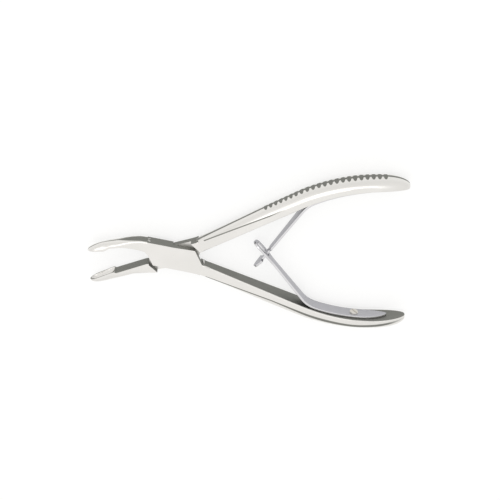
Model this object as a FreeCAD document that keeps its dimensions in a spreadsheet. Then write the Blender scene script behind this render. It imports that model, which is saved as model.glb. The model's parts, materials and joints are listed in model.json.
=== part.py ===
import FreeCAD, Part
import Sketcher
import os
from math import atan2, cos, degrees, radians, sin, sqrt, tan

# A bone rongeur: two forged halves that cross in a lap joint, a riveted pivot screw, and two leaf
# springs that hook into each other and push the handles apart. It lies flat and open. The pivot axis
# is Z, its foot on the underside of the joint is the origin, the jaws point to -X and the handles to +X.
SIZES = {
    # joint
    "joint_thickness": 5.4,
    "lap_clearance": 0.06,
    "plate_back_height": 6.0,
    "plate_belly_height": 6.15,
    "plate_back_slope": 14.5,
    "plate_belly_slope": 10.0,
    "plate_edge_reach": 10.7,
    "plate_edge_angle": 20.7,
    "handle_shoulder_reach": 11.4,
    "jaw_shoulder_reach": 11.2,
    "closing_angle": 22.2,
    "lip_clearance": 0.3,
    # pivot screw
    "pivot_radius": 2.3,
    "pivot_clearance": 0.05,
    "pivot_head_radius": 3.3,
    "pivot_head_height": 1.1,
    "pivot_slot_width": 0.8,
    "pivot_slot_depth": 0.5,
    # handles
    "throat_reach": 13.0,
    "throat_height": 3.6,
    "handle_slope": 26.8,
    "handle_straight": 53.2,
    "handle_bow_radius": 80.0,
    "handle_tail_radius": 140.0,
    "handle_length": 103.8,
    "handle_root_depth": 5.9,
    "handle_depth": 6.85,
    "handle_tail_depth": 5.9,
    "handle_width": 10.4,
    "rest_width": 10.3,
    "handle_width_station": 78.0,
    "flank_root_height": 5.5,
    "flank_height": 3.45,
    "crown_station": 38.0,
    "slim_station": 57.0,
    "arris_chamfer": 0.45,
    # nose, where a handle runs out
    "nose_length": 13.0,
    "nose_taper": 14.0,
    "nose_tip_depth": 1.3,
    "nose_tip_flank": 0.7,
    "nose_tip_width": 1.2,
    # grip grooves across the back of each handle
    "groove_count": 22,
    "groove_pitch": 2.86,
    "groove_width": 1.75,
    "groove_depth": 0.5,
    "groove_start": 34.5,
    # jaws
    "jaw_reach": 40.9,
    "jaw_taper": 1.4,
    "rim_height": 7.22,
    "rim_station": 30.0,
    "rim_slope": 22.9,
    "cup_wall": 0.5,
    "cup_lip": 0.7,
    "cup_tip_radius": 0.22,
    "lower_cup_length": 11.0,
    "upper_cup_length": 6.6,
    # leaf springs
    "leaf_thickness": 1.1,
    "leaf_width": 6.4,
    "leaf_waist": 4.3,
    "leaf_gap": 0.12,
    "leaf_tail_station": 95.0,
    "leaf_lift_station": 60.0,
    "leaf_bend_radius": 15.0,
    "leaf_end_radius": 60.0,
    "crossing_reach": 43.3,
    "crossing_height": 0.7,
    "eye_reach": 8.8,
    "eye_width": 6.0,
    "slot_width": 3.0,
    "slot_start": 1.7,
    "slot_end": 7.4,
    "neck_width": 2.3,
    "neck_start": 2.6,
    "head_start": 3.0,
    "head_width": 5.5,
    "head_reach": 9.0,
    # spring screws
    "screw_station": 79.0,
    "screw_radius": 1.1,
    "screw_depth": 3.0,
    "screw_head_radius": 2.0,
    "screw_head_height": 0.8,
    "screw_slot_width": 0.5,
    "screw_slot_depth": 0.35,
    "screw_clearance": 0.05,
}

doc = FreeCAD.newDocument("rongeur")
sheet = doc.addObject("Spreadsheet::Sheet", "sizes")
for row, (name, value) in enumerate(SIZES.items(), start=1):
    sheet.set(f"A{row}", name)
    sheet.set(f"B{row}", str(value))
    sheet.setAlias(f"B{row}", name)
doc.recompute()


def size(name):
    return float(sheet.get(name))


T = size("joint_thickness")
MIDDLE = T / 2


def vec(x, y, z=0.0):
    return FreeCAD.Vector(x, y, z)


def frame(origin, across, outward, along):
    """Placement with local x, y and z along three given directions."""
    return FreeCAD.Placement(origin, FreeCAD.Rotation(across, outward, along, "ZXY"))


def origin_plane(body, role):
    return next(f for f in body.Origin.OriginFeatures if f.Role == role)


def new_sketch(body, name, placement):
    sketch = body.newObject("Sketcher::SketchObject", name)
    sketch.AttachmentSupport = [(origin_plane(body, "XY_Plane"), "")]
    sketch.MapMode = "FlatFace"
    sketch.AttachmentOffset = placement
    return sketch


def level(height):
    """A drawing plane parallel to the joint at a height above its underside."""
    return FreeCAD.Placement(vec(0, 0, height), FreeCAD.Rotation())


def draw(sketch, path):
    """Closed outline. Each item is a corner, or a corner with a point that the edge to it bows through."""
    corners = [item[-1] for item in path]
    for index, item in enumerate(path):
        start = corners[index - 1]
        end = corners[index]
        if len(item) == 2:
            sketch.addGeometry(Part.Arc(start, item[0], end), False)
        else:
            sketch.addGeometry(Part.LineSegment(start, end), False)


def pad(body, name, sketch, length_expression):
    feature = body.newObject("PartDesign::Pad", name)
    feature.Profile = sketch
    feature.setExpression("Length", length_expression)
    return feature


def cut_through(body, name, sketch):
    """Cuts an outline right through, both ways from its plane."""
    feature = body.newObject("PartDesign::Pocket", name)
    feature.Profile = sketch
    feature.Type = 1
    feature.Midplane = True
    return feature


def cut_from(body, name, sketch, length_expression, reverse):
    """Cuts an outline to a depth: reversed cuts go the way the plane faces."""
    feature = body.newObject("PartDesign::Pocket", name)
    feature.Profile = sketch
    feature.Reversed = reverse
    feature.setExpression("Length", length_expression)
    return feature


# Handles. The inner face runs straight from the throat, bows over to lie along X and curls in a little
# at the tail. Everything on a handle is placed by its distance along that face.
BOW_CENTRE = vec(
    size("throat_reach")
    + size("handle_straight") * cos(radians(size("handle_slope")))
    + size("handle_bow_radius") * sin(radians(size("handle_slope"))),
    size("throat_height")
    + size("handle_straight") * sin(radians(size("handle_slope")))
    - size("handle_bow_radius") * cos(radians(size("handle_slope"))),
)
BOW_LENGTH = size("handle_bow_radius") * radians(size("handle_slope"))


def inner_face(station):
    """Point on the handle's inner face, and the slope there in degrees."""
    slope = size("handle_slope")
    if station <= size("handle_straight"):
        x = size("throat_reach") + station * cos(radians(slope))
        y = size("throat_height") + station * sin(radians(slope))
        return vec(x, y), slope
    bowed = station - size("handle_straight")
    if bowed <= BOW_LENGTH:
        turned = slope - degrees(bowed / size("handle_bow_radius"))
        radius = size("handle_bow_radius")
        x = BOW_CENTRE.x - radius * sin(radians(turned))
        y = BOW_CENTRE.y + radius * cos(radians(turned))
        return vec(x, y), turned
    radius = size("handle_tail_radius")
    turned = -degrees((bowed - BOW_LENGTH) / radius)
    top = BOW_CENTRE.y + size("handle_bow_radius")
    x = BOW_CENTRE.x - radius * sin(radians(turned))
    y = top - radius * (1 - cos(radians(turned)))
    return vec(x, y), turned


def nose_share(station, length):
    """1 before the nose, then down to 0 at the tip along a quarter of an ellipse."""
    over = min(1.0, max(0.0, 1 - (size("handle_length") - station) / length))
    return sqrt(1 - over * over)


def handle_width(station):
    """Widens from the joint's thickness, then rounds in to the tip."""
    share = min(1.0, station / size("handle_width_station"))
    full = T + (size("handle_width") - T) * share
    tip = size("nose_tip_width")
    return tip + (full - tip) * nose_share(station, size("nose_taper"))


def handle_depth(station):
    """Thickens from the root, slims a little along the bow, and falls away over the nose."""
    nose = size("handle_length") - size("nose_length")
    grown = min(1.0, station / size("crown_station"))
    slimmed = min(1.0, max(0.0, (station - size("slim_station")) / (nose - size("slim_station"))))
    full = size("handle_root_depth") + (size("handle_depth") - size("handle_root_depth")) * grown
    full += (size("handle_tail_depth") - size("handle_depth")) * slimmed
    tip = size("nose_tip_depth")
    return tip + (full - tip) * nose_share(station, size("nose_length"))


def flank_height(station):
    """Height of the flat sides: high at the root, where the back is nearly flat, and low at the tip."""
    grown = min(1.0, station / size("crown_station"))
    full = size("flank_root_height") + (size("flank_height") - size("flank_root_height")) * grown
    fade = size("handle_width_station")
    faded = max(0.0, (station - fade) / (size("handle_length") - fade))
    return full + (size("nose_tip_flank") - full) * faded ** 1.6


def section_frame(point, slope, side, lift=0.0):
    """Plane square to a handle at a point of its inner face: local x is the width, local y the depth."""
    turned = radians(slope)
    outward = vec(-sin(turned), side * cos(turned))
    along = vec(cos(turned), side * sin(turned))
    base = vec(point.x, side * point.y, MIDDLE) + outward * lift
    return frame(base, outward.cross(along), outward, along)


def d_section(sketch, station):
    """Flat inner face with chamfered edges, two flat sides and a back that is one arc."""
    half = handle_width(station) / 2
    flank = flank_height(station)
    chamfer = min(size("arris_chamfer"), flank / 2, half / 2)
    draw(sketch, [
        (vec(half - chamfer, 0),),
        (vec(half, chamfer),),
        (vec(half, flank),),
        (vec(0, handle_depth(station)), vec(-half, flank)),
        (vec(-half, chamfer),),
        (vec(chamfer - half, 0),),
    ])


def round_section(sketch, width, side_height, rise):
    """Flat face, two flat sides and a rounded back with no corners."""
    half = width / 2
    sketch.addGeometry(Part.LineSegment(vec(-half, 0), vec(half, 0)), False)
    sketch.addGeometry(Part.LineSegment(vec(half, 0), vec(half, side_height)), False)
    reach = side_height + rise * 4 / 3
    back = Part.BezierCurve()
    back.setPoles([vec(half, side_height), vec(half, reach), vec(-half, reach), vec(-half, side_height)])
    sketch.addGeometry(back.toBSpline(), False)
    sketch.addGeometry(Part.LineSegment(vec(-half, side_height), vec(-half, 0)), False)


def loft(body, name, sketches):
    """Straight from each section to the next."""
    feature = body.newObject("PartDesign::AdditiveLoft", name)
    feature.Profile = sketches[0]
    feature.Sections = sketches[1:]
    feature.Ruled = True
    return feature


def add_handle(body, side):
    """The handle proper: square to its inner face it is a D, wider and more arched towards the tail, and
    at the tail it runs out in a nose that is rounded both ways."""
    nose = size("handle_length") - size("nose_length")
    crown = size("crown_station")
    straight = size("handle_straight")
    stations = [0, crown / 3, crown * 2 / 3, crown, straight]
    stations += [straight + (nose - straight) * number / 6 for number in range(1, 7)]
    for share in (0.7, 0.47, 0.29, 0.15, 0.05, 0):
        stations.append(size("handle_length") - size("nose_length") * share)
    sections = []
    for number, station in enumerate(stations):
        point, slope = inner_face(station)
        sketch = new_sketch(body, f"handle_section_{number}", section_frame(point, slope, side))
        d_section(sketch, station)
        sections.append(sketch)
    return loft(body, "handle", sections)


def cut_rest_flats(body, side):
    """The widest stretch of both flanks is ground flat: the instrument lies on these."""
    start, _ = inner_face(50)
    end, _ = inner_face(size("handle_length"))
    far = 9.0
    outline = [
        (vec(start.x, side * (start.y - far)),),
        (vec(end.x + far, side * (start.y - far)),),
        (vec(end.x + far, side * (end.y + 2 * far)),),
        (vec(start.x, side * (end.y + 2 * far)),),
    ]
    for name, above in (("near", True), ("under", False)):
        height = MIDDLE + (1 if above else -1) * size("rest_width") / 2
        sketch = new_sketch(body, f"{name}_flat", level(height))
        draw(sketch, outline)
        cut_from(body, f"{name}_flat_cut", sketch, "sizes.joint_thickness", above)


def cut_grooves(body, side):
    """Grip grooves across the back, each a shallow notch with two flat sides."""
    sketch = new_sketch(body, "grip_grooves", level(MIDDLE))
    for number in range(int(size("groove_count"))):
        station = size("groove_start") + number * size("groove_pitch")
        point, slope = inner_face(station)
        floor = handle_depth(station) - size("groove_depth")

        def corner(along, up):
            x = point.x + along * cos(radians(slope)) - up * sin(radians(slope))
            y = point.y + along * sin(radians(slope)) + up * cos(radians(slope))
            return vec(x, side * y)

        # drawn to twice the depth, so that the notch is open at the top
        mouth = size("groove_width")
        open_height = floor + 2 * size("groove_depth")
        draw(sketch, [(corner(-mouth, open_height),), (corner(0, floor),), (corner(mouth, open_height),)])
    cut_through(body, "grip_groove_cut", sketch)


def screw_frame(side, lift):
    """Plane on a handle's inner face at the spring screw: local z runs into the handle."""
    point, slope = inner_face(size("screw_station"))
    plane = section_frame(point, slope, side, lift)
    outward = plane.Rotation.multVec(vec(0, 1, 0))
    along = plane.Rotation.multVec(vec(0, 0, 1))
    return frame(plane.Base, along, outward.cross(along), outward)


# Joint. Each half keeps one half of the thickness between its two shoulders, so the halves cross flush.
def line_x(normal_angle, reach, y):
    """x on a line given by the direction and length of its normal from the pivot, at a y."""
    return (reach - y * sin(radians(normal_angle))) / cos(radians(normal_angle))


def add_plate(body, side, belly_path):
    """Plan of the crossing: back line, handle edge, throat and jaw edge, at full thickness."""
    back = size("plate_back_height")
    belly = size("plate_belly_height")
    rise = tan(radians(size("plate_back_slope")))
    fall = tan(radians(size("plate_belly_slope")))
    angle = radians(size("plate_edge_angle"))
    corner_x = (size("plate_edge_reach") - belly * sin(angle)) / (cos(angle) - fall * sin(angle))
    root, slope = inner_face(0)
    overlap, _ = inner_face(1.2)
    depth = size("handle_root_depth")
    outward = vec(-sin(radians(slope)), cos(radians(slope)))
    neck = overlap + outward * (depth - 0.05)
    start = root + outward * (depth - 0.05)
    join = (start.y - back) / rise * 0.62
    outline = [
        (vec(line_x(-size("plate_edge_angle"), size("plate_edge_reach"), root.y), root.y),),
        (overlap,),
        (neck,),
        (start,),
        (vec(join, back + join * rise),),
        (vec(-10.3, back - 10.3 * rise),),
        (vec(-11.9, -0.6),),
    ] + belly_path + [
        (vec(corner_x, -belly + corner_x * fall),),
    ]
    sketch = new_sketch(body, "plate_plan", level(0))
    draw(sketch, [tuple(vec(p.x, side * p.y) for p in item) for item in outline])
    return pad(body, "plate", sketch, "sizes.joint_thickness")


def cut_lap(body, side, lip):
    """Removes half of the thickness between the shoulders that stop the other half's plate."""
    angle = size("closing_angle") + size("plate_edge_angle")
    handle_x = cos(radians(angle)) * size("handle_shoulder_reach")
    handle_y = sin(radians(angle)) * size("handle_shoulder_reach")
    jaw_x = -cos(radians(angle)) * size("jaw_shoulder_reach")
    jaw_y = -sin(radians(angle)) * size("jaw_shoulder_reach")
    run_x = -sin(radians(angle))
    run_y = cos(radians(angle))
    far = 24.0

    def along_shoulder(x, y, distance):
        return vec(x + run_x * distance, side * (y + run_y * distance))

    clearance = size("lap_clearance") / 2
    sketch = new_sketch(body, "lap_recess", level(MIDDLE - side * clearance))
    corners = [
        (along_shoulder(handle_x, handle_y, -far),),
        (along_shoulder(handle_x, handle_y, far),),
        (along_shoulder(jaw_x, jaw_y, far),),
    ]
    if lip:
        # the back of the jaw runs on as a lip, just clear of the other half's plate when shut
        normal = radians(90 + size("plate_back_slope") - size("closing_angle"))
        reach = size("plate_back_height") * cos(radians(size("plate_back_slope"))) + size("lip_clearance")
        shoulder = radians(angle)
        turn = sin(shoulder + normal)
        start_x = (reach * sin(shoulder) - size("jaw_shoulder_reach") * sin(normal)) / turn
        start_y = -(reach * cos(shoulder) + size("jaw_shoulder_reach") * cos(normal)) / turn
        end_y = (lip * cos(normal) - reach) / sin(normal)
        corners += [
            (vec(start_x, side * start_y),),
            (vec(lip, side * end_y),),
            (vec(lip + 1.5, -side * far),),
        ]
    else:
        corners += [(along_shoulder(jaw_x, jaw_y, -far),)]
    draw(sketch, corners)
    return cut_from(body, "lap_recess_cut", sketch, "sizes.joint_thickness", side > 0)


def primitive(body, kind, name, placement, **expressions):
    feature = body.newObject(f"PartDesign::{kind}", name)
    feature.AttachmentSupport = [(origin_plane(body, "XY_Plane"), "")]
    feature.MapMode = "FlatFace"
    feature.AttachmentOffset = placement
    for prop, expression in expressions.items():
        feature.setExpression(prop, expression)
    return feature


def cut_screw_hole(body, side):
    """Blind hole in the inner face for the screw of the leaf spring."""
    primitive(body, "SubtractiveCylinder", "screw_hole", screw_frame(side, -1),
              Radius="sizes.screw_radius + sizes.screw_clearance",
              Height="1 + sizes.screw_depth + 2 * sizes.screw_clearance")


def cut_pivot_bore(body, countersunk):
    """The rivet end fits its half tightly; the half that turns has a running fit and a countersink."""
    if not countersunk:
        primitive(body, "SubtractiveCylinder", "pivot_bore", level(-1),
                  Radius="sizes.pivot_radius", Height="sizes.joint_thickness + 2")
        return
    primitive(body, "SubtractiveCylinder", "pivot_bore", level(-1),
              Radius="sizes.pivot_radius + sizes.pivot_clearance", Height="sizes.joint_thickness + 2")
    primitive(body, "SubtractiveCone", "countersink", level(0),
              Radius1="sizes.pivot_head_radius + sizes.pivot_clearance",
              Radius2="sizes.pivot_radius + sizes.pivot_clearance",
              Height="sizes.pivot_head_height")


# Jaws. The cup rims meet in one plane when the instrument is shut; behind each cup the jaws stand
# clear of each other.
RIM_POINT = vec(-size("rim_station"), -size("rim_height"))


def jaw_width(x):
    return min(T, size("jaw_taper") * sqrt(max(0.05, size("jaw_reach") + x)))


def add_jaw(body, side, rim, crown):
    """Loft from the joint to the tip: a flat inner face, and a back that rounds into a spoon."""
    sections = []
    for number, (x, crown_y) in enumerate(crown):
        inner = rim(x)
        depth = inner - crown_y
        share = min(1.0, max(0.0, (-x - 11) / 20))
        rise = depth * (0.22 + 0.56 * share)
        base = vec(x, side * inner, MIDDLE)
        outward = vec(0, -side)
        along = vec(-1, 0)
        plane = frame(base, outward.cross(along), outward, along)
        sketch = new_sketch(body, f"jaw_section_{number}", plane)
        round_section(sketch, jaw_width(x), depth - rise, rise)
        sections.append(sketch)
    return loft(body, "jaw", sections)


def cut_relief(body, side, path):
    sketch = new_sketch(body, "jaw_relief", level(MIDDLE))
    draw(sketch, [tuple(vec(p.x, side * p.y) for p in item) for item in path])
    cut_through(body, "jaw_relief_cut", sketch)


def cut_cup(body, side, rim, length):
    """Hollow of the cup: a slim cone laid along the rim, closed by a ball at its wide end."""
    tip = vec(-size("jaw_reach"), rim(-size("jaw_reach")))
    inward = (vec(tip.x + 10, rim(tip.x + 10)) - tip).normalize()
    start = tip + inward * size("cup_lip")
    ball = jaw_width(tip.x + (size("cup_lip") + length * 0.86) * inward.x) / 2 - size("cup_wall")
    reach = length - ball
    centre = start + inward * reach
    along = vec(inward.x, side * inward.y)
    up = vec(0, 0, 1)

    def place(point):
        return frame(vec(point.x, side * point.y, MIDDLE), up, along.cross(up), along)

    primitive(body, "SubtractiveCone", "cup_cone", place(start),
              Radius1="sizes.cup_tip_radius", Radius2=f"{ball}", Height=f"{reach}")
    primitive(body, "SubtractiveSphere", "cup_ball", place(centre), Radius=f"{ball}")


def build_half(label, side, crown, rim, belly, relief, cup_length, lip, countersunk):
    body = doc.addObject("PartDesign::Body", label)
    body.Label = label
    add_plate(body, side, belly)
    add_handle(body, side)
    add_jaw(body, side, rim, crown)
    cut_lap(body, side, lip)
    doc.recompute()
    cut_pivot_bore(body, countersunk)
    cut_rest_flats(body, side)
    cut_relief(body, side, relief)
    cut_cup(body, side, rim, cup_length)
    cut_grooves(body, side)
    cut_screw_hole(body, side)
    doc.recompute()
    return body


def lower_rim(x):
    return RIM_POINT.y + (x - RIM_POINT.x) * tan(radians(size("rim_slope")))


def upper_rim(x):
    """The same plane turned back by the closing angle, mirrored into the frame of the half."""
    turn = radians(-size("closing_angle"))
    px = RIM_POINT.x * cos(turn) - RIM_POINT.y * sin(turn)
    py = RIM_POINT.x * sin(turn) + RIM_POINT.y * cos(turn)
    slope = tan(radians(size("rim_slope") - size("closing_angle")))
    return -(py + (x - px) * slope)


LOWER_CROWN = [
    (-11.0, -7.5), (-15.0, -7.7), (-19.5, -8.5), (-24.0, -9.75), (-28.5, -11.1),
    (-33.0, -12.5), (-36.5, -13.25), (-38.8, -13.4), (-40.2, -12.9), (-40.8, -12.2),
]
UPPER_CROWN = [
    (-11.0, -9.3), (-15.0, -10.1), (-19.5, -10.15), (-24.0, -9.9), (-28.5, -9.45),
    (-32.5, -8.75), (-35.5, -7.85), (-38.0, -6.6), (-39.8, -5.3), (-40.8, -4.4),
]

far_half = build_half(
    "far_half", 1, LOWER_CROWN, lower_rim,
    belly=[(vec(-12.4, -2.2),), (vec(-12.4, -7.4),), (vec(-9.7, -7.5),)],
    relief=[
        (vec(-29.0, lower_rim(-29.0) + 0.01),),
        (vec(-28.6, -7.5), vec(-27.6, -7.3)),
        (vec(-19.3, -4.5),),
        (vec(-13.3, -2.5),),
        (vec(-12.3, -2.5),),
        (vec(-11.92, -0.6),),
        (vec(-11.0, 1.55),),
        (vec(-12.3, 3.0),),
        (vec(-29.0, 0.0),),
    ],
    cup_length=size("lower_cup_length"), lip=None, countersunk=True,
)
near_half = build_half(
    "near_half", -1, UPPER_CROWN, upper_rim,
    belly=[(vec(-12.3, -2.2),), (vec(-12.3, -9.5),), (vec(-7.3, -8.25),), (vec(0, -6.4),)],
    relief=[
        (vec(-33.6, upper_rim(-33.6) + 0.01),),
        (vec(-32.6, -5.4), vec(-30.4, -6.35)),
        (vec(-24.0, -6.7), vec(-13.7, -4.1)),
        (vec(-12.35, -2.2),),
        (vec(-12.35, 3.0),),
        (vec(-33.6, 0.0),),
    ],
    cup_length=size("upper_cup_length"), lip=-0.4, countersunk=False,
)


# Pivot screw. Its slotted head is countersunk in the underside; the other end is riveted over and
# ground flush, so nothing of it shows on the near face.
pivot_screw = doc.addObject("PartDesign::Body", "pivot_screw")
pivot_screw.Label = "pivot_screw"
primitive(pivot_screw, "AdditiveCylinder", "shank", level(0),
          Radius="sizes.pivot_radius", Height="sizes.joint_thickness")
primitive(pivot_screw, "AdditiveCone", "head", level(0),
          Radius1="sizes.pivot_head_radius", Radius2="sizes.pivot_radius", Height="sizes.pivot_head_height")
slot_place = FreeCAD.Placement(
    vec(0, 0, 0),
    FreeCAD.Rotation(vec(0, 0, 1), 35),
)
slot_corner = vec(-5, -size("pivot_slot_width") / 2, -1)
slot_place = slot_place.multiply(FreeCAD.Placement(slot_corner, FreeCAD.Rotation()))
primitive(pivot_screw, "SubtractiveBox", "slot", slot_place,
          Length="10", Width="sizes.pivot_slot_width", Height="1 + sizes.pivot_slot_depth")


# Leaf springs. Each is a strip bent in the plane of the instrument: it lies on its handle, lifts off in
# a round bend and runs straight through the place where the two cross, with a slight outward curl beyond.
def heading(angle):
    return vec(cos(radians(angle)), sin(radians(angle)))


def leaf_pieces(side):
    """Centre line from tail to crossing as (start, heading, length, radius); radius 0 is straight."""
    offset = size("leaf_gap") + size("leaf_thickness") / 2
    bow_end = size("handle_straight") + BOW_LENGTH
    tail = size("leaf_tail_station")
    lift = size("leaf_lift_station")
    point, slope = inner_face(tail)
    place = point + heading(slope - 90) * offset
    aim = 180 + slope
    pieces = []

    def advance(place, aim, length, radius):
        pieces.append((place, aim, length, radius))
        if radius == 0:
            return place + heading(aim) * length, aim
        turned = aim + degrees(length / radius)
        centre = place + heading(aim + 90) * radius
        return centre + heading(turned - 90) * radius, turned

    # on a long bow the leaf's tail lies before the handle's tail curve starts
    if tail > bow_end:
        tail_share = (tail - bow_end) / size("handle_tail_radius")
        place, aim = advance(place, aim, tail_share * (size("handle_tail_radius") - offset),
                             size("handle_tail_radius") - offset)
    bow_share = (min(tail, bow_end) - lift) / size("handle_bow_radius")
    place, aim = advance(place, aim, bow_share * (size("handle_bow_radius") - offset),
                         size("handle_bow_radius") - offset)
    radius = size("leaf_bend_radius")
    crossing = vec(size("crossing_reach"), side * size("crossing_height"))
    centre = place + heading(aim + 90) * radius
    away = crossing - centre
    straight = sqrt(away.Length ** 2 - radius ** 2)
    leave = degrees(atan2(away.y, away.x)) - degrees(atan2(straight, radius)) + 90
    turn = (leave - aim) % 360
    place, aim = advance(place, aim, radius * radians(turn), radius)
    place, aim = advance(place, aim, straight, 0)
    return pieces, place, aim, advance


def leaf_strip(body, side, beyond):
    """The bent strip at full width, and the crossing point with the heading there."""
    pieces, crossing, aim, advance = leaf_pieces(side)
    advance(crossing, aim, beyond, -size("leaf_end_radius"))
    half = size("leaf_thickness") / 2

    def at(piece, share, offset):
        place, start, length, radius = piece
        if radius == 0:
            return place + heading(start) * (length * share) + heading(start + 90) * offset
        turned = start + degrees(length * share / radius)
        centre = place + heading(start + 90) * radius
        return centre + heading(turned - 90) * (radius - offset)

    def leg(piece, offset, back):
        shares = (0.5, 0) if back else (0.5, 1)
        points = [at(piece, share, offset) for share in shares]
        return tuple(points) if piece[3] else (points[1],)

    outline = [(at(pieces[0], 0, half),)]
    outline += [leg(piece, half, False) for piece in pieces]
    outline += [(at(pieces[-1], 1, -half),)]
    outline += [leg(piece, -half, True) for piece in reversed(pieces)]
    sketch = new_sketch(body, "strip", level(MIDDLE))
    draw(sketch, [tuple(vec(p.x, side * p.y) for p in item) for item in outline])
    feature = pad(body, "strip_pad", sketch, "sizes.leaf_width")
    feature.Midplane = True
    return crossing, aim


def leaf_plane(side, crossing, aim):
    """Plane that faces the leaf at the crossing: local x runs to the tip and y is the width."""
    tip = heading(aim)
    along = vec(tip.x, side * tip.y)
    up = vec(0, 0, 1)
    return frame(vec(crossing.x, side * crossing.y, MIDDLE), along, up, along.cross(up))


def mirrored(path):
    """Closes a half outline, drawn from root to tip, with its mirror image across the leaf."""
    other = []
    for index in range(len(path) - 1, 0, -1):
        end = path[index - 1][-1]
        if len(path[index]) == 2:
            other.append((vec(path[index][0].x, -path[index][0].y), vec(end.x, -end.y)))
        else:
            other.append((vec(end.x, -end.y),))
    last = path[-1][-1]
    join = [] if abs(last.y) < 1e-6 else [(vec(last.x, -last.y),)]
    return path[1:] + join + other


def cut_leaf(body, name, plane, path):
    """Trims the strip to a flat pattern: everything outside the outline goes."""
    sketch = new_sketch(body, name, plane)
    wide = size("leaf_width")
    draw(sketch, [(vec(-90, -wide),), (vec(20, -wide),), (vec(20, wide),), (vec(-90, wide),)])
    draw(sketch, mirrored(path))
    cut_through(body, f"{name}_cut", sketch)


def leaf_root(crossing, aim):
    """Pattern of the root up to the bend: a rounded tail and straight sides, at its projected length."""
    half = size("leaf_width") / 2
    tail_point, slope = inner_face(size("leaf_tail_station"))
    lift_point, _ = inner_face(size("leaf_lift_station") - 6)
    tip = heading(aim)
    tail = (tail_point - crossing).dot(tip) + 0.05
    lift = (lift_point - crossing).dot(tip)
    return [
        (vec(tail, 0),),
        (vec(tail + 0.45, half * 0.72), vec(tail + 1.5, half)),
        (vec(lift, half),),
    ]


def cut_leaf_hole(body, side):
    primitive(body, "SubtractiveCylinder", "screw_hole", screw_frame(side, -6),
              Radius="sizes.screw_radius + sizes.screw_clearance", Height="10")


slotted_leaf = doc.addObject("PartDesign::Body", "slotted_leaf_spring")
slotted_leaf.Label = "slotted_leaf_spring"
crossing, aim = leaf_strip(slotted_leaf, -1, size("eye_reach"))
face = leaf_plane(-1, crossing, aim)
waist = size("leaf_waist") / 2
eye = size("eye_width") / 2
cut_leaf(slotted_leaf, "eye_pattern", face, leaf_root(crossing, aim) + [
    (vec(-6.5, waist),),
    (vec(-4.2, waist + 0.15), vec(-2.0, eye - 0.35)),
    (vec(1.0, eye + 0.02), vec(size("eye_reach") - 3.4, eye - 0.1)),
    (vec(size("eye_reach") - 0.9, eye * 0.72), vec(size("eye_reach") - 0.12, 0)),
])
slot = new_sketch(slotted_leaf, "slot", face)
slot_half = size("slot_width") / 2
draw(slot, [
    (vec(-size("slot_start") + slot_half, slot_half),),
    (vec(-size("slot_start"), 0), vec(-size("slot_start") + slot_half, -slot_half)),
    (vec(size("slot_end") - slot_half, -slot_half),),
    (vec(size("slot_end"), 0), vec(size("slot_end") - slot_half, slot_half)),
])
cut_through(slotted_leaf, "slot_cut", slot)
cut_leaf_hole(slotted_leaf, -1)

tongue_leaf = doc.addObject("PartDesign::Body", "tongue_leaf_spring")
tongue_leaf.Label = "tongue_leaf_spring"
crossing, aim = leaf_strip(tongue_leaf, 1, size("head_reach"))
face = leaf_plane(1, crossing, aim)
neck = size("neck_width") / 2
head = size("head_width") / 2
cut_leaf(tongue_leaf, "tongue_pattern", face, leaf_root(crossing, aim) + [
    (vec(-size("neck_start") - 3.0, waist - 0.2),),
    (vec(-size("neck_start") - 0.7, waist - 0.45), vec(-size("neck_start"), neck)),
    (vec(size("head_start"), neck),),
    (vec(size("head_start") + 0.75, head),),
    (vec(size("head_start") + 2.6, head * 0.82), vec(size("head_reach") - 1.5, head * 0.5)),
    (vec(size("head_reach") - 0.5, head * 0.32), vec(size("head_reach") - 0.12, 0)),
])
cut_leaf_hole(tongue_leaf, 1)


# Spring screws. One slotted cheese head near each tail holds the leaf down on its handle.
def add_spring_screw(label, side, slot_turn):
    body = doc.addObject("PartDesign::Body", label)
    body.Label = label
    seat = size("leaf_gap") + size("leaf_thickness") + size("leaf_gap") / 4
    body.Placement = screw_frame(side, -seat)
    primitive(body, "AdditiveCylinder", "shank", level(0), Radius="sizes.screw_radius",
              Height="sizes.screw_depth + sizes.leaf_thickness + sizes.leaf_gap")
    head_feature = primitive(body, "AdditiveCylinder", "head", level(-size("screw_head_height")),
                             Radius="sizes.screw_head_radius", Height="sizes.screw_head_height")
    doc.recompute()
    rim = [
        f"Edge{number}" for number, edge in enumerate(head_feature.Shape.Edges, start=1)
        if abs(edge.BoundBox.ZMax + size("screw_head_height")) < 1e-4
        and abs(edge.BoundBox.ZMin + size("screw_head_height")) < 1e-4
        and abs(edge.Length - 6.2831853 * size("screw_head_radius")) < 1e-3
    ]
    bevel = body.newObject("PartDesign::Chamfer", "head_edge")
    bevel.Base = (head_feature, rim)
    bevel.setExpression("Size", "sizes.screw_head_height * 0.3")
    slot_width = size("screw_slot_width")
    turned = FreeCAD.Placement(vec(0, 0, 0), FreeCAD.Rotation(vec(0, 0, 1), slot_turn))
    shift = vec(-3, -slot_width / 2, -size("screw_head_height") - 1)
    primitive(body, "SubtractiveBox", "slot", turned.multiply(FreeCAD.Placement(shift, FreeCAD.Rotation())),
              Length="6", Width="sizes.screw_slot_width", Height="1 + sizes.screw_slot_depth")
    return body


lower_screw = add_spring_screw("lower_spring_screw", -1, 52)
upper_screw = add_spring_screw("upper_spring_screw", 1, 20)
doc.recompute()

for item in doc.Objects:
    if "Invalid" in item.State or "Error" in item.State:
        raise RuntimeError(f"{item.Label} did not build: {item.State}")

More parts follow.
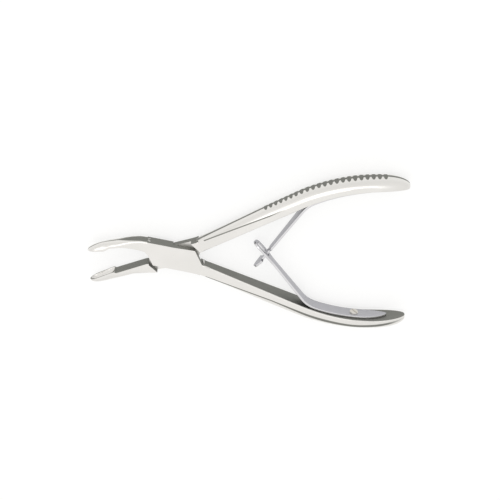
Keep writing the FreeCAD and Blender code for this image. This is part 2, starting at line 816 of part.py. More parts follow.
# The library's origin: middle of the footprint, on the plane that the flanks of the handles lie on.
PARTS = (far_half, near_half, pivot_screw, slotted_leaf, tongue_leaf, lower_screw, upper_screw)
footprint = far_half.Shape.optimalBoundingBox(False, False)
footprint.add(near_half.Shape.optimalBoundingBox(False, False))
to_origin = vec(-footprint.Center.x, -footprint.Center.y, size("rest_width") / 2 - MIDDLE)
print("pivot axis at x", round(to_origin.x, 4), "y", round(to_origin.y, 4))
print("underside of joint at z", round(to_origin.z, 4))
for part in PARTS:
    part.Placement = FreeCAD.Placement(to_origin, FreeCAD.Rotation()).multiply(part.Placement)
doc.recompute()

os.makedirs("parts", exist_ok=True)
for part in PARTS:
    if part.Shape.isNull() or not part.Shape.isValid() or len(part.Shape.Solids) != 1:
        raise RuntimeError(f"{part.Label} has no valid solid")
    part.Shape.exportStep(f"parts/{part.Label}.step")
    print(part.Label, round(part.Shape.Volume, 2), part.Shape.BoundBox)
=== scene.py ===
import json
from math import cos, radians, sin

import bmesh
import bpy
import numpy as np
from mathutils import Matrix, Vector


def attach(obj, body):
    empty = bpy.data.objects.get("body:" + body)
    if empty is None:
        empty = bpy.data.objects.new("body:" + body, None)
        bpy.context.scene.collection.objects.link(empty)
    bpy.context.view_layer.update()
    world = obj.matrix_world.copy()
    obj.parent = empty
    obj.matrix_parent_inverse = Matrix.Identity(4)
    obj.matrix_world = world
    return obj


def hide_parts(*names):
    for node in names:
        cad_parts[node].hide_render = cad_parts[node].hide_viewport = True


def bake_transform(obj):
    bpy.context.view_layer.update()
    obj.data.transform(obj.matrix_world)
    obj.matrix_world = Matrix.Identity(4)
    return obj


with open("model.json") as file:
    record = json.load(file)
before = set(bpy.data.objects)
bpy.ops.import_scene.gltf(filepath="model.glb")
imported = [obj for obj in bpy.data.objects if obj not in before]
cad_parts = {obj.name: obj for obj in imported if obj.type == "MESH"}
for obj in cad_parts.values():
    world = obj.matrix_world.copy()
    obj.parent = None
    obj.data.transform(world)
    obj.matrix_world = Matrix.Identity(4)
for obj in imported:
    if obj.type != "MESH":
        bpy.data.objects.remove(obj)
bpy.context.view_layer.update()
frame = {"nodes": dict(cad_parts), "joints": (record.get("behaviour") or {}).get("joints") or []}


# Camera. It looks at the open instrument from 33 degrees off the pivot axis, over the upper handle, with
# the instrument turned 1.1 degrees in its own plane.
joint_places = {joint["name"]: joint["pos_m"] for joint in frame["joints"]}
pivot = Vector(joint_places["pivot_close"])
view_tilt = radians(33.0)
view_roll = radians(1.1)
view_distance = 0.72
right = Vector((cos(view_roll), -sin(view_roll), 0.0))
in_plane_up = Vector((sin(view_roll), cos(view_roll), 0.0))
back = in_plane_up * sin(view_tilt) + Vector((0.0, 0.0, cos(view_tilt)))
up = in_plane_up * cos(view_tilt) - Vector((0.0, 0.0, sin(view_tilt)))
# the pivot lies this far left of the middle of the picture and below it, measured in the object's plane
pivot_left = 0.035563
pivot_below = 0.003432
centre = pivot + right * pivot_left + in_plane_up * pivot_below
camera = bpy.data.objects.new("camera", bpy.data.cameras.new("camera"))
camera.data.lens = 110.0
camera.data.sensor_width = 36.0
turn = Matrix((right, up, back)).transposed().to_4x4()
camera.matrix_world = Matrix.Translation(centre + back * view_distance) @ turn
bpy.context.scene.collection.objects.link(camera)
bpy.context.scene.camera = camera


# The two halves, drop forged from stainless steel. The flanks and the round backs are polished on a wheel;
# the flats square to them, inside the handles and along the joint, are painted a darker grey as shade.
# Lengths are in mm. Everything on a handle is placed by its distance from the throat, its station.
throat_x = 13.0
throat_y = 3.6
root_slope = radians(26.8)
straight_run = 53.2
bow_radius = 80.0
tail_radius = 140.0
handle_length = 103.8


def inner_face(station):
    """Inner face of a handle: x, y and slope. It runs straight out at the root slope, turns on the bow
    radius until it lies along X, and curls in on the tail radius."""
    straight = np.minimum(station, straight_run)
    turned = root_slope - np.clip((station - straight_run) / bow_radius, 0.0, root_slope)
    curled = np.maximum(station - straight_run - bow_radius * root_slope, 0.0) / tail_radius
    x = throat_x + straight * cos(root_slope) + bow_radius * (sin(root_slope) - np.sin(turned))
    y = throat_y + straight * sin(root_slope) + bow_radius * (np.cos(turned) - cos(root_slope))
    x = x + tail_radius * np.sin(curled)
    y = y - tail_radius * (1.0 - np.cos(curled))
    return x, y, turned - curled


def nose_share(station, length):
    """1 before the nose, then down to 0 at the tip along a quarter of an ellipse."""
    over = np.clip(1.0 - (handle_length - station) / length, 0.0, 1.0)
    return np.sqrt(1.0 - over ** 2)


# a handle is as wide as the joint at its root, widest at one station, and deepest between two
root_width_of_handle = 5.4
full_width = 10.4
widest = 78.0
tip_width = 1.2
root_depth = 5.9
full_depth = 6.85
deepest_from = 38.0
deepest_to = 57.0
depth_run_out = 33.8
tip_depth = 1.3
root_flank = 5.5
full_flank = 3.45
tip_flank = 0.7


def handle_sizes(station):
    """Half width, depth and height of the flanks. The width and the depth grow and shrink in straight
    lines and run out in the nose; the flanks run out on a power curve."""
    widened = np.minimum(1.0, station / widest)
    width = root_width_of_handle + (full_width - root_width_of_handle) * widened
    width = tip_width + (width - tip_width) * nose_share(station, 16.0)
    grown = np.minimum(1.0, station / deepest_from)
    shrunk = np.clip((station - deepest_to) / depth_run_out, 0.0, 1.0)
    depth = root_depth + (full_depth - root_depth) * (grown - shrunk)
    depth = tip_depth + (depth - tip_depth) * nose_share(station, 13.0)
    flank = root_flank + (full_flank - root_flank) * grown
    past_widest = np.maximum(0.0, station - widest) / (handle_length - widest)
    flank = flank + (tip_flank - flank) * past_widest ** 1.6
    return width / 2, depth, flank


# grip grooves, filed across the back with a round file
groove_count = 22
groove_pitch = 2.62
groove_start = 37.4
groove_radius = 1.0
groove_depth = 0.5
# the flanks are ground to this half width, and the back loses this much in polishing
ground_half = 5.15
polished_off = 0.05
# radius of the edge along the inner face, and reach of the curve that eases the back into the flanks, which
# grows from the first value to the second between two stations
inner_edge_radius = 0.4
easing_least = 0.38
easing_most = 1.0
easing_from = 40.0
easing_to = 65.0
# the easing curve is rougher and painted darker, as shade, up to this station of the upper handle
shaded_easing_to = 46.0


def groove_cut(station):
    """Depth of the grooves: the arc of the file where a station lies in one, and nothing between them."""
    number = np.clip(np.round((station - groove_start) / groove_pitch), 0, groove_count - 1)
    away = station - groove_start - number * groove_pitch
    arc = np.sqrt(np.maximum(groove_radius ** 2 - away ** 2, 0.0))
    return np.maximum(arc - (groove_radius - groove_depth), 0.0)


def handle_stations(root):
    """Stations along a handle: rows 0.1 mm apart through the grooves, wider on the plain stretches, and
    closing up towards the tip as the nose rounds in."""
    first = groove_start - groove_pitch / 2
    last = first + groove_count * groove_pitch
    plain = np.arange(root, first - 0.2, 0.7)
    grooved = np.linspace(first, last, groove_count * 26 + 1)
    nose = handle_length - (handle_length - last) * np.cos(np.linspace(0.0, np.pi / 2, 41))
    return np.concatenate([plain, grooved, nose[1:]])


def handle_skin(side, root):
    """Points of a handle in mm from the pivot, a grid of (station, place round the section), and a mark that
    is 1 where the steel is left rougher and painted darker as shade: in the grooves and on the easing curve.
    Square to the inner face the section is a D: a flat face with rounded edges, two flat flanks, and one arc
    for a back, eased into the flanks by a short curve that grows towards the tail. That curve is painted
    with shade, on the upper handle only near the joint. A groove's floor is level across the width, so the
    back is cut off at that height."""
    station = handle_stations(root)[:, None]
    half, depth, flank = handle_sizes(station)
    edge = np.minimum(inner_edge_radius, np.minimum(flank, half) / 2)
    support = np.minimum(0.12, 0.04 * np.minimum(flank, half))
    corner = np.linspace(0.0, np.pi / 2, 10)[None, :]
    rise = depth - flank
    radius = (half ** 2 + rise ** 2) / (2 * rise)
    opening = np.arctan2(half, radius - rise)
    eased = np.clip((station - easing_from) / (easing_to - easing_from), 0.0, 1.0)
    easing = easing_least + (easing_most - easing_least) * eased
    easing = np.minimum(easing, 0.4 * np.minimum(flank, half))
    swing = (opening - easing / radius) * np.linspace(1.0, -1.0, 61)[None, :]
    arc_u = radius * np.sin(swing)
    arc_v = depth - radius + radius * np.cos(swing)
    bend = np.linspace(0.0, 1.0, 7)[None, :-1]
    bend_u = half * (1 - bend ** 2) + bend ** 2 * arc_u[:, :1]
    bend_v = (1 - bend) ** 2 * (flank - easing) + 2 * bend * (1 - bend) * flank + bend ** 2 * arc_v[:, :1]
    corner_u = half - edge * (1 - np.sin(corner))
    near_u = np.concatenate([half - edge - support, corner_u, half, half, bend_u], axis=1)
    near_v = np.concatenate([0 * half, edge * (1 - np.cos(corner)), edge + support,
                             flank - easing - support, bend_v], axis=1)
    u = np.concatenate([near_u, arc_u, -near_u[:, ::-1]], axis=1)
    v = np.concatenate([near_v, arc_v, near_v[:, ::-1]], axis=1)
    cut = groove_cut(station)
    floor = depth - polished_off - cut
    in_groove = (v > floor) & (cut > 0.0)
    on_easing = np.zeros_like(u, dtype=bool)
    on_easing[:, near_u.shape[1] - 5:near_u.shape[1]] = True
    on_easing |= on_easing[:, ::-1]
    shaded_easing_end = shaded_easing_to if side > 0 else handle_length
    # painted shade: the grooves and the easing curve are marked for a darker grey standing in for shade, and
    # a higher roughness
    unpolished_painted_shade = np.maximum(in_groove, on_easing * np.clip((shaded_easing_end - station) / 8.0, 0.0, 1.0))
    u = np.clip(u, -ground_half, ground_half)
    v = np.minimum(v, floor)
    x, y, slope = inner_face(station)
    points = np.stack([x - v * np.sin(slope), side * (y + v * np.cos(slope)), u + 0 * x], axis=2)
    return points, unpolished_painted_shade


# between these two cuts, on the handle and on the jaw, the forging is the frame's own
handle_seam = 4.0
jaw_seam = 12.3
# the jaws, hollowed by a round cutter into a cup with a sharp rim. A jaw's reach is its distance from the
# pivot along X; the cups' rims meet in one plane when the instrument is shut
jaw_reach = 40.78
jaw_nose = 7.9
jaw_half_width = 2.7
spoon_half_width = 2.35
spoon_end = 4.0
shut_angle = radians(22.2)
rim_slope = radians(22.9)
rim_reach = 30.0
rim_height = 7.22
cup_wall = 0.4


def ease(along, low, high):
    """0 before low, 1 after high, and smooth between."""
    share = np.clip((along - low) / (high - low), 0.0, 1.0)
    return share * share * (3 - 2 * share)


def quarter(reach, start, length):
    """1 up to start, then down to 0 along a quarter of an ellipse."""
    return np.sqrt(1 - np.clip((reach - start) / length, 0.0, 1.0) ** 2)


# the upper jaw's inner arch and its back: the height and place of each one's top, and how fast it falls to
# either side; at the joint both sink to meet the frame's own section
arch_height = 6.75
arch_middle = 25.5
arch_fall = 0.019
arch_sink = 1.25
crown_height = 10.2
crown_middle = 18.0
crown_fall = 0.0067
crown_sink = 0.42


def upper_jaw(reach):
    """Inner line, back line, squareness and cup of the upper jaw. Behind the rim the inner line rises in a
    long arch to clear bone, and the back is a shallow arch."""
    meet_x = rim_reach * cos(shut_angle) + rim_height * sin(shut_angle)
    meet_y = rim_reach * sin(shut_angle) - rim_height * cos(shut_angle)
    rim = meet_y - (reach - meet_x) * np.tan(rim_slope - shut_angle)
    arch = arch_height - arch_fall * (reach - arch_middle) ** 2
    inner = arch + (rim - arch) * ease(reach, 30.2, 33.8) - arch_sink * (1 - ease(reach, jaw_seam, 13.9))
    back_line = crown_height - crown_fall * (reach - crown_middle) ** 2
    back_line = back_line - crown_sink * (1 - ease(reach, jaw_seam, 16.0))
    back_line = inner + (back_line - inner) * quarter(reach, jaw_reach - jaw_nose, jaw_nose)
    squareness = 2.0 + 8.0 * (1 - ease(reach, jaw_seam, 27.0))
    return inner, back_line, squareness, (33.2, 40.4)


# the lower jaw's flat falls 1 mm in each flat_run from flat_from on; its back bends, softly, from level to
# a fall of twice back_fall, and sinks at the joint to meet the frame's own section
flat_height = -2.5
flat_from = 13.3
flat_run = 3
back_height = -7.0
back_bend = 15.0
back_softness = 4.0
back_fall = 0.15
back_sink = 0.22


def lower_jaw(reach):
    """Inner line, back line, squareness and cup of the lower jaw. Behind the cup a flat steps down from the
    rim and runs straight to the joint, and the back bends round to run along the spoon."""
    rim = -rim_height - (reach - rim_reach) * np.tan(rim_slope)
    flat = flat_height - np.maximum(reach - flat_from, 0.0) / flat_run
    inner = flat + (rim - flat) * ease(reach, 28.0, 29.4)
    past_bend = reach - back_bend
    back_line = back_height - back_fall * (np.sqrt(past_bend ** 2 + back_softness ** 2) + past_bend)
    back_line = back_line - back_sink * (1 - ease(reach, jaw_seam, 18.0))
    back_line = inner + (back_line - inner) * quarter(reach, jaw_reach - jaw_nose, jaw_nose)
    squareness = 2.3 + 7.7 * (1 - ease(reach, jaw_seam, 20.0))
    return inner, back_line, squareness, (28.9, 40.3)


def jaw_skin(lines, root):
    """Points of a jaw in mm from the pivot, a grid of (reach, place round the section). The section has the
    inner face, sunk to a half ellipse where the cup is, two flat sides, and for a back one half of a
    superellipse, which is nearly square at the joint and round at the spoon. Seen from the rim the tip is
    round."""
    nose_start = jaw_reach - jaw_nose
    plain = np.arange(root, nose_start, 0.35)
    tip = nose_start + jaw_nose * np.sin(np.linspace(0.0, radians(88.5), 60))
    reach = np.concatenate([plain, tip])[:, None]
    inner, back_line, squareness, cup = lines(reach)
    half = jaw_half_width + (spoon_half_width - jaw_half_width) * ease(reach, 26.0, 36.0)
    half = half * quarter(reach, jaw_reach - spoon_end, spoon_end)
    depth = np.abs(back_line - inner)
    away = np.sign(back_line - inner)
    rise = depth * (0.22 + 0.56 * np.clip((reach - 11.0) / 20.0, 0.0, 1.0))
    middle = (cup[0] + cup[1]) / 2
    length = (cup[1] - cup[0]) / 2
    hollow = quarter(np.abs(reach - middle), 0.0, length) ** 0.8
    hollow_half = np.maximum(half - cup_wall, 0.02)
    across = np.linspace(-1.0, 1.0, 49)[None, :]
    bowl_u = half * across
    bowl_share = np.sqrt(np.maximum(1 - (bowl_u / hollow_half) ** 2, 0.0))
    bowl_h = np.minimum(hollow_half, depth * 0.72) * hollow * bowl_share
    turn = np.linspace(0.0, np.pi, 49)[None, :]
    power = 2.0 / squareness
    arch_u = half * np.sign(np.cos(turn)) * np.abs(np.cos(turn)) ** power
    arch_h = depth - rise + rise * np.abs(np.sin(turn)) ** power
    side_u = half + 0 * across[:, :3]
    side_h = (depth - rise) * np.array([[0.25, 0.5, 0.75]])
    u = np.concatenate([bowl_u, side_u, arch_u, -side_u], axis=1)
    h = np.concatenate([bowl_h, side_h, arch_h, side_h[:, ::-1]], axis=1)
    points = np.stack([-reach + 0 * u, inner + away * h, u], axis=2)
    return points, np.zeros(u.shape)


def linear(code):
    """Linear colour of an sRGB hex code."""
    channels = [int(code[place:place + 2], 16) / 255 for place in (0, 2, 4)]
    return [c / 12.92 if c <= 0.04045 else ((c + 0.055) / 1.055) ** 2.4 for c in channels] + [1.0]


def add(tree, kind, values=None, **inputs):
    """Adds a node. values are its properties; an input is a number, a colour or another node's output,
    and its name is the socket's, or its number after an underscore."""
    node = tree.nodes.new(kind)
    for name, value in (values or {}).items():
        setattr(node, name, value)
    for name, value in inputs.items():
        number = name.strip("_")
        socket = node.inputs[int(number)] if number.isdigit() else node.inputs[name.replace("_", " ")]
        if isinstance(value, bpy.types.NodeSocket):
            tree.links.new(value, socket)
        else:
            socket.default_value = value
    return node


def steel_with_painted_shade(name, polished, painted_shade_colours, rough, grain, start, end):
    """Polished stainless steel with painted shade. Where a surface faces the pivot axis it keeps the steel's
    own colour and the lower roughness; where it stands square to the flanks, or is marked for it by its mesh
    attribute, it is painted a darker grey standing in for shade and is rougher. start and end are the
    leanings between which one gives way to the other. The grain is that of the polishing, in roughness and
    height."""
    material = bpy.data.materials.new(name)
    material.use_nodes = True
    tree = material.node_tree
    shader = tree.nodes["Principled BSDF"]
    coordinates = add(tree, "ShaderNodeTexCoord")
    place = coordinates.outputs["Object"]
    leaning = add(tree, "ShaderNodeSeparateXYZ", Vector=coordinates.outputs["Normal"]).outputs["Z"]
    flatness = add(tree, "ShaderNodeMath", {"operation": "ABSOLUTE"}, _0=leaning).outputs["Value"]
    facing = add(tree, "ShaderNodeMapRange", {"interpolation_type": "SMOOTHSTEP"},
                 Value=flatness, From_Min=start, From_Max=end).outputs["Result"]
    marked_rough_shaded = add(tree, "ShaderNodeAttribute", {"attribute_name": "unpolished_painted_shade"}).outputs["Fac"]
    polished_unshaded = add(tree, "ShaderNodeMath", {"operation": "SUBTRACT", "use_clamp": True},
                _0=facing, _1=marked_rough_shaded).outputs["Value"]
    # real wheel lines are 0.02 to 0.05 mm apart; they are drawn at about 0.4 mm so that they show
    drawn = add(tree, "ShaderNodeMapping", Vector=place, Scale=(0.2, 1.0, 1.0)).outputs["Vector"]
    lines = add(tree, "ShaderNodeTexNoise", Vector=drawn, Scale=grain, Detail=3.0).outputs["Fac"]
    cloud = add(tree, "ShaderNodeTexNoise", Vector=place, Scale=60.0, Detail=2.0).outputs["Fac"]
    smoothness = add(tree, "ShaderNodeMapRange", Value=polished_unshaded, To_Min=rough[1], To_Max=rough[0])
    varied = add(tree, "ShaderNodeMath", {"operation": "MULTIPLY_ADD"},
                 _0=lines, _1=0.10, _2=smoothness.outputs["Result"]).outputs["Value"]
    clouded = add(tree, "ShaderNodeMath", {"operation": "MULTIPLY_ADD"}, _0=cloud, _1=0.06, _2=varied)
    tree.links.new(clouded.outputs["Value"], shader.inputs["Roughness"])
    bright = add(tree, "ShaderNodeMix", {"data_type": "RGBA"}, _0=cloud,
                 _6=linear(polished[0]), _7=linear(polished[1])).outputs[2]
    # painted shade: faces square to the flanks, and marked places, get these darker colours standing in for
    # shade
    grey = add(tree, "ShaderNodeMix", {"data_type": "RGBA"}, _0=lines,
               _6=linear(painted_shade_colours[0]), _7=linear(painted_shade_colours[1])).outputs[2]
    colour = add(tree, "ShaderNodeMix", {"data_type": "RGBA"}, _0=polished_unshaded, _6=grey, _7=bright).outputs[2]
    tree.links.new(colour, shader.inputs["Base Color"])
    height = add(tree, "ShaderNodeBump", Height=lines, Strength=0.12, Distance=0.00001)
    tree.links.new(height.outputs["Normal"], shader.inputs["Normal"])
    shader.inputs["Metallic"].default_value = 1.0
    return material


# satin stainless steel: an even warm grey with a soft sheen, duller on the flats square to the flanks and
# painted darker there as shade
satin_steel = steel_with_painted_shade("satin_stainless_painted_shade", ("e4e3df", "eceae7"), ("7a7b76", "8c8c87"),
                               (0.27, 0.42), 700.0, 0.03, 0.16)


def join_skin(work, skin, cut_place, cut_aim):
    """Cuts a mesh off square at a place, closes the cut, and sets a grid of points against it, closed at
    both ends."""
    everything = work.verts[:] + work.edges[:] + work.faces[:]
    bmesh.ops.bisect_plane(work, geom=everything, plane_co=cut_place / 1000 + pivot, plane_no=cut_aim,
                           clear_outer=True)
    bmesh.ops.holes_fill(work, edges=[edge for edge in work.edges if edge.is_boundary])
    points, unpolished_painted_shade = skin
    index = np.arange(unpolished_painted_shade.size).reshape(unpolished_painted_shade.shape)
    around = np.roll(index, -1, axis=1)
    quads = np.stack([index[:-1], around[:-1], around[1:], index[1:]], axis=2).reshape(-1, 4)
    ends = [index[0, ::-1].tolist(), index[-1].tolist()]
    skin_mesh = bpy.data.meshes.new("skin")
    places = points.reshape(-1, 3) / 1000 + np.array(pivot)
    skin_mesh.from_pydata(places.tolist(), [], quads.tolist() + ends)
    # the mark carries the painted shade of the grooves and the easing curve onto the mesh
    mark = skin_mesh.attributes.new("unpolished_painted_shade", "FLOAT", "POINT")
    mark.data.foreach_set("value", unpolished_painted_shade.ravel().astype(np.float32))
    work.from_mesh(skin_mesh)
    bpy.data.meshes.remove(skin_mesh)


nodes = frame["nodes"]


def half_piece(name, node, side, jaw_lines):
    """A copy of the frame's half, cut off on both sides of the joint, with the smooth grooved handle and
    the hollow jaw set against the cuts."""
    mesh = nodes[node].data.copy()
    mesh.attributes.new("unpolished_painted_shade", "FLOAT", "POINT")
    work = bmesh.new()
    work.from_mesh(mesh)
    bmesh.ops.remove_doubles(work, verts=work.verts, dist=2e-6)
    x, y, slope = (float(value) for value in inner_face(handle_seam))
    join_skin(work, handle_skin(side, handle_seam), Vector((x, side * y, 0.0)),
              Vector((cos(slope), side * sin(slope), 0.0)))
    join_skin(work, jaw_skin(jaw_lines, jaw_seam), Vector((-jaw_seam, 0.0, 0.0)),
              Vector((-1.0, 0.0, 0.0)))
    bmesh.ops.recalc_face_normals(work, faces=work.faces)
    work.to_mesh(mesh)
    work.free()
    mesh.shade_smooth()
    mesh.set_sharp_from_angle(angle=radians(14.0))
    mesh.materials.clear()
    mesh.materials.append(satin_steel)
    piece = bpy.data.objects.new(name, mesh)
    bpy.context.scene.collection.objects.link(piece)
    return piece


for name, node, side, body, jaw_lines in (
    ("upper_handle_half", "far_half", 1, "far_side", lower_jaw),
    ("lower_handle_half", "near_half", -1, "near_side", upper_jaw),
):
    half = half_piece(name, node, side, jaw_lines)
    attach(half, body)
    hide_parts(node)
# the pivot screw is riveted flush and ground with the flank, so nothing shows of it on the near side
nodes["pivot_screw"].data.materials.clear()
nodes["pivot_screw"].data.materials.append(satin_steel)


# Leaf springs. Two strips of hardened spring steel, 1.1 mm thick, ground fine and screwed to the inner
# faces of the handles. Each lies on its handle, lifts off in a round bend and runs straight to the
# crossing. The lower one ends in a slotted eye; the upper one has a neck through the slot and a head.
leaf_half_thick = 0.55
leaf_offset = 0.12 + leaf_half_thick
leaf_tail = 95.0
leaf_lift = 60.0
leaf_bend = 15.0
leaf_curl = 60.0
crossing_x = 43.3
crossing_y = 0.7
leaf_step = 0.25


def arc_points(middle, radius, angles):
    """Points on a circle about a centre, at headings measured along the way it is travelled."""
    return middle + radius * np.stack([np.sin(angles), -np.cos(angles)], axis=1)


def leaf_line(side, beyond):
    """Centre line of a leaf from its tail: points, headings, and distance along it from the crossing. It
    follows the handle, turns on the bend until it aims at the crossing, runs straight, and curls back."""
    x, y, slope = inner_face(np.arange(leaf_tail, leaf_lift, -leaf_step))
    lying = np.stack([x + leaf_offset * np.sin(slope), y - leaf_offset * np.cos(slope)], axis=1)
    x, y, slope_there = inner_face(leaf_lift)
    aim = slope_there + np.pi
    lift_point = np.array([x + leaf_offset * sin(slope_there), y - leaf_offset * cos(slope_there)])
    middle = lift_point + leaf_bend * np.array([-sin(aim), cos(aim)])
    crossing = np.array([crossing_x, side * crossing_y])
    away = crossing - middle
    straight = (away @ away - leaf_bend ** 2) ** 0.5
    leave = np.arctan2(away[1], away[0]) - np.arctan2(straight, leaf_bend) + np.pi / 2
    leave = leave % (2 * np.pi)
    bend_angles = np.arange(aim, leave, leaf_step / leaf_bend)
    bent = arc_points(middle, leaf_bend, bend_angles)
    leave_point = arc_points(middle, leaf_bend, np.array([leave]))
    steps = np.arange(0.0, straight, leaf_step)[:, None]
    run = leave_point + steps * np.array([[cos(leave), sin(leave)]])
    curl_angles = leave - np.arange(0.0, beyond + 1e-6, 0.1) / leaf_curl
    curl_middle = crossing + leaf_curl * np.array([sin(leave), -cos(leave)])
    curled = arc_points(curl_middle, -leaf_curl, curl_angles)
    points = np.concatenate([lying, bent, run, curled])
    aims = np.concatenate([slope + np.pi, bend_angles, leave + 0 * steps[:, 0], curl_angles])
    along = np.concatenate([[0.0], np.cumsum(np.hypot(*np.diff(points, axis=0).T))])
    return points, aims, along - along[len(points) - len(curled)]


def leaf_piece(name, side, beyond, half_width, slot_half):
    """A bent strip as two rails side by side, each a flat band with rounded edges carried along the line.
    A rail spans from the edge of the slot to the outer edge, and the rails meet where there is no slot."""
    points, aims, along = leaf_line(side, beyond)
    outer = np.maximum(half_width(along), 0.02)
    inner = np.minimum(slot_half(along), outer - 0.01)
    outer_edge = np.minimum(0.16, outer / 2)
    inner_edge = np.where(inner > 0.02, 0.16, 0.0)
    corner = np.linspace(0.0, np.pi / 2, 4)[:, None]
    shrink_sin = 1 - np.sin(corner)
    shrink_cos = 1 - np.cos(corner)
    across = np.concatenate([outer - outer_edge * shrink_sin, outer - outer_edge * shrink_cos,
                             inner + inner_edge * shrink_sin, inner + inner_edge * shrink_cos])
    height = np.concatenate([
        leaf_half_thick - outer_edge * shrink_cos, -leaf_half_thick + outer_edge * shrink_sin,
        -leaf_half_thick + inner_edge * shrink_cos, leaf_half_thick - inner_edge * shrink_sin,
    ])
    x = points[:, 0] + height * np.sin(aims)
    y = side * (points[:, 1] - height * np.cos(aims))
    rails = [np.stack([x, y, rail * across], axis=2) for rail in (1, -1)]
    index = np.arange(x.size).reshape(x.shape)
    below = np.roll(index, -1, axis=0)
    quads = np.stack([index[:, :-1], index[:, 1:], below[:, 1:], below[:, :-1]], axis=2)
    slotted = (inner[:-1] > 0.0) | (inner[1:] > 0.0)
    inside = np.zeros(len(index), bool)
    inside[8:15] = True
    quads = quads[~inside[:, None] | slotted[None, :]]
    verts = np.concatenate([rail.reshape(-1, 3) for rail in rails]) / 1000 + np.array(pivot)
    faces = np.concatenate([quads, quads[:, ::-1] + x.size])
    mesh = bpy.data.meshes.new(name)
    mesh.from_pydata(verts.tolist(), [], faces.tolist())
    work = bmesh.new()
    work.from_mesh(mesh)
    bmesh.ops.remove_doubles(work, verts=work.verts, dist=2e-6)
    bmesh.ops.holes_fill(work, edges=[edge for edge in work.edges if edge.is_boundary])
    bmesh.ops.recalc_face_normals(work, faces=work.faces)
    work.to_mesh(mesh)
    work.free()
    mesh.shade_smooth()
    mesh.set_sharp_from_angle(angle=radians(40.0))
    piece = bpy.data.objects.new(name, mesh)
    bpy.context.scene.collection.objects.link(piece)
    return piece


# a leaf keeps its full half width from the pointed tail to where it leaves the bend
leaf_half_width = 3.2
tail_length = 13.0
taper_from = -38.0


def root_width(along):
    """Half width up to the bend: a tail that runs out in a pointed oval, then the full width."""
    share = np.clip((along - along[0]) / tail_length, 0.0, 1.0)
    return leaf_half_width * (1 - (1 - share) ** 2) ** 0.62


def eye_width(along):
    """Half width of the slotted leaf: tapers from the bend to a waist, widens to the eye, and rounds off."""
    tapered = leaf_half_width - 1.05 * np.clip((along - taper_from) / 31.5, 0.0, 1.0)
    width = np.where(along < taper_from, root_width(along), tapered)
    width = width + 0.85 * ease(along, -6.5, 0.5)
    return width * np.sqrt(1 - np.clip((along - 5.4) / 3.4, 0.0, 1.0) ** 2)


def eye_slot(along):
    """Half width of the slot: 3 mm wide, 9 mm long, with round ends, centred 2.85 mm past the crossing."""
    away = np.abs(along - 2.85)
    width = 1.5 * np.sqrt(1 - np.clip((away - 3.0) / 1.5, 0.0, 1.0) ** 2)
    return np.where(away < 4.5, width, 0.0)


def tongue_width(along):
    """Half width of the tongue leaf: tapers to the neck, steps out to the head, narrows to a round tip."""
    tapered = leaf_half_width - 1.25 * np.clip((along - taper_from) / 32.4, 0.0, 1.0)
    width = np.where(along < taper_from, root_width(along), tapered)
    width = width - 0.8 * ease(along, -4.2, -2.6)
    head = 1.15 + 1.6 * ease(along, 2.9, 3.7)
    head = head * (1 - 0.55 * np.clip((along - 3.7) / 4.6, 0.0, 1.0) ** 1.4)
    return np.where(along < 2.9, width, head * np.sqrt(1 - np.clip((along - 7.7) / 1.3, 0.0, 1.0) ** 2))


# ground spring steel: bright narrow edges, and wide faces painted a darker, faintly bluish grey as shade
spring_steel = steel_with_painted_shade("ground_spring_steel_painted_shade", ("dadadc", "e2e1e3"), ("b0b0b4", "bebec2"),
                                (0.24, 0.32), 900.0, 0.30, 0.75)
slotted_leaf = leaf_piece("slotted_leaf", -1, 8.8, eye_width, eye_slot)
tongue_leaf = leaf_piece("tongue_leaf", 1, 9.0, tongue_width, lambda along: 0.0 * along)
# each leaf takes the spring steel, has its placing baked into its points, and stands in for the frame's
# leaf, which is hidden
for leaf, side, handle, own, node in (
    (slotted_leaf, -1, "near_side", "slotted_leaf", "slotted_leaf_spring"),
    (tongue_leaf, 1, "far_side", "tongue_leaf", "tongue_leaf_spring"),
):
    leaf.data.materials.append(spring_steel)
    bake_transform(leaf)
    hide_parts(node)


# Screws. Two slotted cheese heads hold the leaves, turned from stainless bar and screwed into the handles.
# Turned stainless is brighter and finer than the forgings; its faces square to the flanks are painted only a
# little darker, as shade.
turned_steel = steel_with_painted_shade("turned_stainless_painted_shade", ("dcdad5", "e8e5e0"), ("d0cdc6", "dcd8d0"),
                                (0.20, 0.24), 1500.0, 0.2, 0.5)
for name in ("lower_spring_screw", "upper_spring_screw"):
    nodes[name].data.materials.clear()
    nodes[name].data.materials.append(turned_steel)


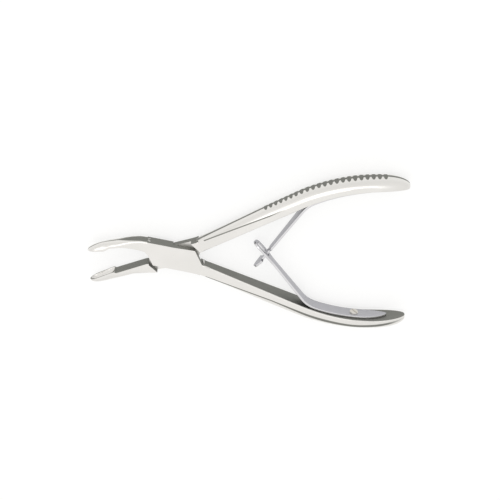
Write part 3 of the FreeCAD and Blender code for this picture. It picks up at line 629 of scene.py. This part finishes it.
# Floor. Plain and pale. Its diffuse half takes the shadow of the instrument, and the camera and the rays
# that glance off the metal see it lifted to the white of the background.
floor_mesh = bpy.data.meshes.new("floor")
floor_mesh.from_pydata([(-2, -2, -0.0002), (2, -2, -0.0002), (2, 2, -0.0002), (-2, 2, -0.0002)], [],
                       [(0, 1, 2, 3)])
floor = bpy.data.objects.new("floor", floor_mesh)
bpy.context.scene.collection.objects.link(floor)
paper = bpy.data.materials.new("matt_white_paper")
paper.use_nodes = True
tree = paper.node_tree
shader = tree.nodes["Principled BSDF"]
path = add(tree, "ShaderNodeLightPath")
camera_or_gloss = add(tree, "ShaderNodeMath", {"operation": "MAXIMUM"},
                      _0=path.outputs["Is Camera Ray"], _1=path.outputs["Is Glossy Ray"]).outputs["Value"]
seen = add(tree, "ShaderNodeMath", {"operation": "MAXIMUM"},
           _0=camera_or_gloss, _1=path.outputs["Is Transmission Ray"]).outputs["Value"]
lift = add(tree, "ShaderNodeMath", {"operation": "MULTIPLY"}, _0=seen, _1=0.68).outputs["Value"]
shader.inputs["Base Color"].default_value = linear("9c9c9b")
shader.inputs["Roughness"].default_value = 0.9
shader.inputs["Specular IOR Level"].default_value = 0.0
shader.inputs["Emission Color"].default_value = linear("ffffff")
tree.links.new(lift, shader.inputs["Emission Strength"])
floor_mesh.materials.append(paper)


# Light. An even bright room, and one soft lamp overhead, which gives the rounded edges a bright line and
# keeps the shadows on the floor small.
lamp = bpy.data.lights.new("soft_box", "AREA")
lamp.shape = "RECTANGLE"
lamp.size = 0.6
lamp.size_y = 0.5
lamp.energy = 1.3
lamp_place = Vector((-0.1, 0.05, 0.9))
soft_box = bpy.data.objects.new("soft_box", lamp)
soft_box.location = lamp_place
soft_box.rotation_euler = (-lamp_place).to_track_quat("-Z", "Y").to_euler()
bpy.context.scene.collection.objects.link(soft_box)
room = bpy.data.worlds.new("room")
room.use_nodes = True
room.node_tree.nodes["Background"].inputs["Color"].default_value = linear("fdfcfb")
room.node_tree.nodes["Background"].inputs["Strength"].default_value = 0.95
bpy.context.scene.world = room
bpy.context.scene.view_settings.view_transform = "Standard"
